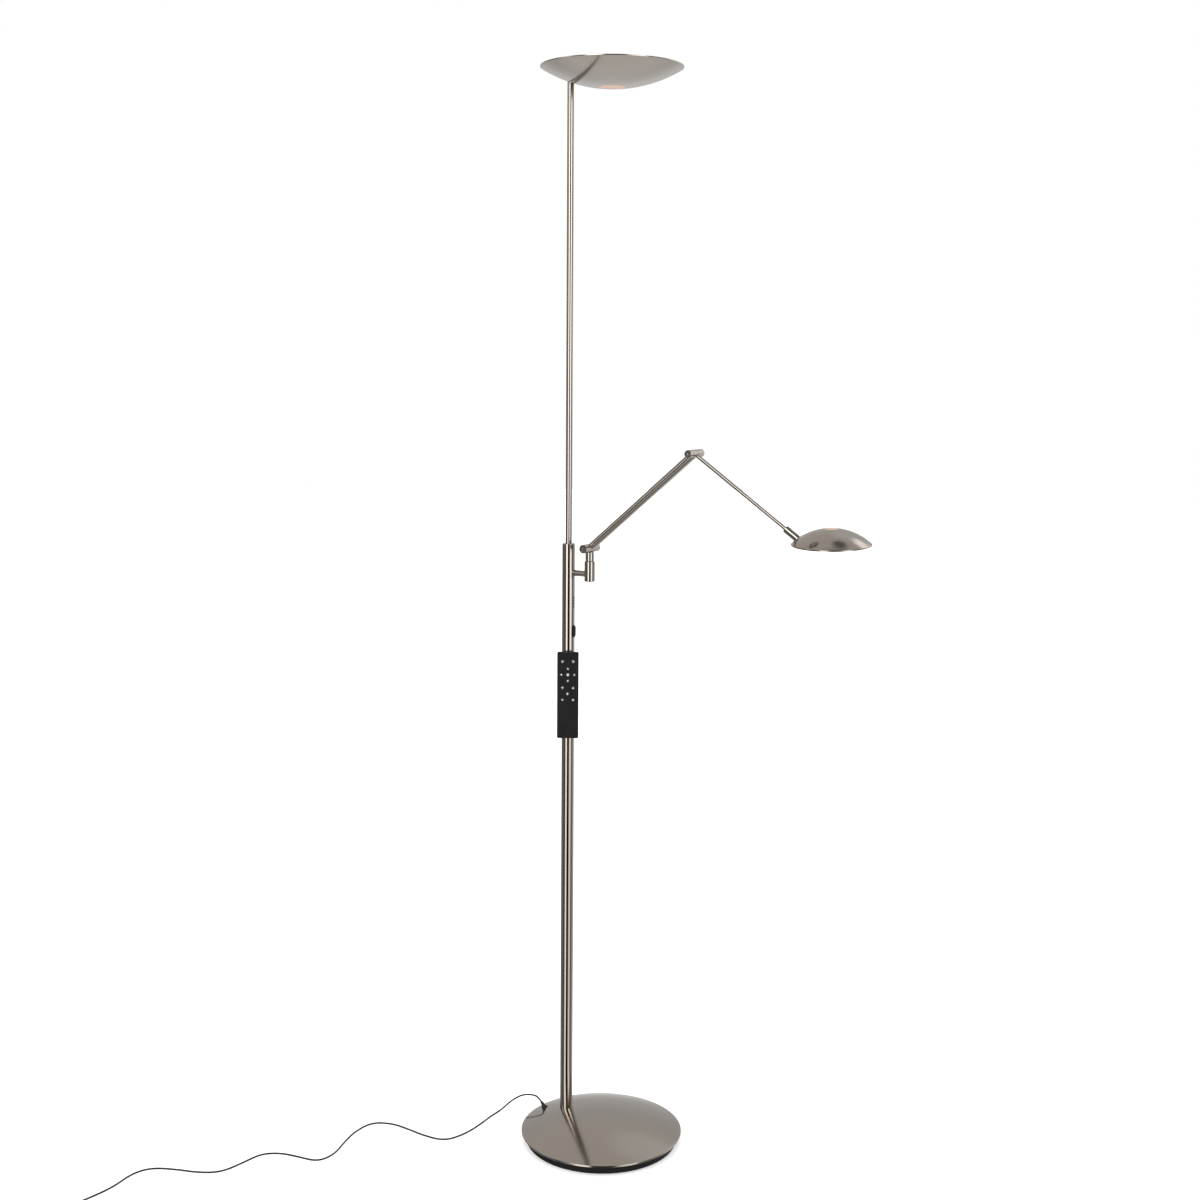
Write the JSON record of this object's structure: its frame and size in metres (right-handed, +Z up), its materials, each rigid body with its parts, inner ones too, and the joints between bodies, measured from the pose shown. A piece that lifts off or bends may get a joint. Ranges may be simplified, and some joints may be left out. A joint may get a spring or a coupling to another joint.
{
  "type": "torchiere floor lamp",
  "caption": "Floor lamp with a domed round base, a stepped pole, a dish uplight, a folding reading arm with a small dome head, a pole-mounted remote control and a low-voltage cord.",
  "frame": {"origin": "on the floor under the centre of the round base", "axes": "+Z up along the pole, +X the way the reading arm reaches at rest; the pole stands behind the base's centre, on the -X side"},
  "size_m": [1.054, 0.8898, 1.8215],
  "materials": {
    "brushed_nickel": "satin brushed, with turned grain on the domes",
    "black_plastic": "fine moulded grain",
    "black_lens": "gloss",
    "foam": "matte foam",
    "cast_steel": "rough cast",
    "zinc_steel": "zinc plated",
    "bright_steel": "turned and polished",
    "circuit_board": "white solder mask",
    "heat_sink": "bare die cast",
    "opal_diffuser": "frosted opal",
    "warm_glow": "frosted, lit warm from behind",
    "button_rubber": "soft touch",
    "cord_jacket": "satin PVC jacket"
  },
  "bodies": {
    "stand": {"base_cover": "brushed_nickel", "base_weight": "cast_steel", "base_tray": "black_plastic", "base_pad": "foam", "pole_foot": "zinc_steel", "foot_nut": "zinc_steel", "control_board": "circuit_board", "cord_relief": "cord_jacket", "cord_run": "cord_jacket", "cord_coil": "cord_jacket", "cord_tie": "cord_jacket", "cord_tail": "cord_jacket", "adapter_body": "black_plastic", "adapter_pins": "bright_steel", "lower_pole": "brushed_nickel", "pole_cap": "brushed_nickel", "upper_pole": "brushed_nickel", "switch_body": "black_plastic", "indicator_lenses": "black_lens", "arm_bracket": "brushed_nickel", "dish_shell": "brushed_nickel", "dish_stud": "zinc_steel", "dish_heat_sink": "heat_sink", "dish_led_board": "circuit_board", "dish_diffuser": "opal_diffuser", "dish_glow_disc": "warm_glow"},
    "rocker": {"rocker": "black_plastic"},
    "swivel": {"swivel_stem": "brushed_nickel", "swivel_screw": "zinc_steel"},
    "lower_arm": {"lower_barrel": "brushed_nickel", "lower_axle": "bright_steel", "arm_tube": "brushed_nickel", "upper_barrel": "brushed_nickel", "upper_axle": "bright_steel"},
    "upper_arm": {"arm_rod": "brushed_nickel"},
    "head": {"head_sleeve": "brushed_nickel", "sleeve_screw": "zinc_steel", "head_shell": "brushed_nickel", "head_glow_disc": "warm_glow", "head_heat_sink": "heat_sink", "head_led_board": "circuit_board", "head_diffuser": "opal_diffuser"},
    "remote": {"remote_front": "black_plastic", "remote_back": "black_plastic", "remote_board": "circuit_board", "remote_magnets": "zinc_steel"},
    "battery_drawer": {"battery_drawer": "black_plastic", "coin_cell": "zinc_steel"},
    "button_power": {"button_power": "button_rubber"},
    "button_timer": {"button_timer": "button_rubber"},
    "button_up": {"button_up": "button_rubber"},
    "button_left": {"button_left": "button_rubber"},
    "button_centre": {"button_centre": "button_rubber"},
    "button_right": {"button_right": "button_rubber"},
    "button_down": {"button_down": "button_rubber"},
    "button_dish": {"button_dish": "button_rubber"},
    "button_head": {"button_head": "button_rubber"},
    "button_night": {"button_night": "button_rubber"},
    "button_cool": {"button_cool": "button_rubber"},
    "button_warm": {"button_warm": "button_rubber"}
  },
  "joints": [
    {"name": "rocker_tip", "type": "hinge", "parent": "stand", "child": "rocker", "pos_m": [-0.0665, 0, 0.8998], "axis": [0, 1, 0], "range_deg": [-4, 4], "stiffness_Nm_per_rad": 0.05},
    {"name": "arm_swivel", "type": "hinge", "parent": "stand", "child": "swivel", "pos_m": [-0.032, 0, 1], "axis": [0, 0, 1], "range_deg": [-135, 135]},
    {"name": "lower_hinge", "type": "hinge", "parent": "swivel", "child": "lower_arm", "pos_m": [-0.032, 0, 1.0445], "axis": [0, -1, 0], "range_deg": [-35, 45]},
    {"name": "upper_hinge", "type": "hinge", "parent": "lower_arm", "child": "upper_arm", "pos_m": [0.16804, 0, 1.21058], "axis": [0, -1, 0], "range_deg": [-18, 55]},
    {"name": "head_roll", "type": "hinge", "parent": "upper_arm", "child": "head", "pos_m": [0.16804, 0, 1.21058], "axis": [0.8324, 0, -0.5541], "range_deg": [-85, 85]},
    {"name": "remote_pull", "type": "slide", "parent": "stand", "child": "remote", "axis": [0.5446, -0.8387, 0], "range_m": [0, 0.12]},
    {"name": "drawer_slide", "type": "slide", "parent": "remote", "child": "battery_drawer", "axis": [0, 0, -1], "range_m": [0, 0.022]},
    {"name": "press_power", "type": "slide", "parent": "remote", "child": "button_power", "axis": [-0.5446, 0.8387, 0], "range_m": [0, 0.0005], "stiffness_N_per_m": 400},
    {"name": "press_timer", "type": "slide", "parent": "remote", "child": "button_timer", "axis": [-0.5446, 0.8387, 0], "range_m": [0, 0.0005], "stiffness_N_per_m": 400},
    {"name": "press_up", "type": "slide", "parent": "remote", "child": "button_up", "axis": [-0.5446, 0.8387, 0], "range_m": [0, 0.0005], "stiffness_N_per_m": 400},
    {"name": "press_left", "type": "slide", "parent": "remote", "child": "button_left", "axis": [-0.5446, 0.8387, 0], "range_m": [0, 0.0005], "stiffness_N_per_m": 400},
    {"name": "press_centre", "type": "slide", "parent": "remote", "child": "button_centre", "axis": [-0.5446, 0.8387, 0], "range_m": [0, 0.0005], "stiffness_N_per_m": 400},
    {"name": "press_right", "type": "slide", "parent": "remote", "child": "button_right", "axis": [-0.5446, 0.8387, 0], "range_m": [0, 0.0005], "stiffness_N_per_m": 400},
    {"name": "press_down", "type": "slide", "parent": "remote", "child": "button_down", "axis": [-0.5446, 0.8387, 0], "range_m": [0, 0.0005], "stiffness_N_per_m": 400},
    {"name": "press_dish", "type": "slide", "parent": "remote", "child": "button_dish", "axis": [-0.5446, 0.8387, 0], "range_m": [0, 0.0005], "stiffness_N_per_m": 400},
    {"name": "press_head", "type": "slide", "parent": "remote", "child": "button_head", "axis": [-0.5446, 0.8387, 0], "range_m": [0, 0.0005], "stiffness_N_per_m": 400},
    {"name": "press_night", "type": "slide", "parent": "remote", "child": "button_night", "axis": [-0.5446, 0.8387, 0], "range_m": [0, 0.0005], "stiffness_N_per_m": 400},
    {"name": "press_cool", "type": "slide", "parent": "remote", "child": "button_cool", "axis": [-0.5446, 0.8387, 0], "range_m": [0, 0.0005], "stiffness_N_per_m": 400},
    {"name": "press_warm", "type": "slide", "parent": "remote", "child": "button_warm", "axis": [-0.5446, 0.8387, 0], "range_m": [0, 0.0005], "stiffness_N_per_m": 400}
  ]
}
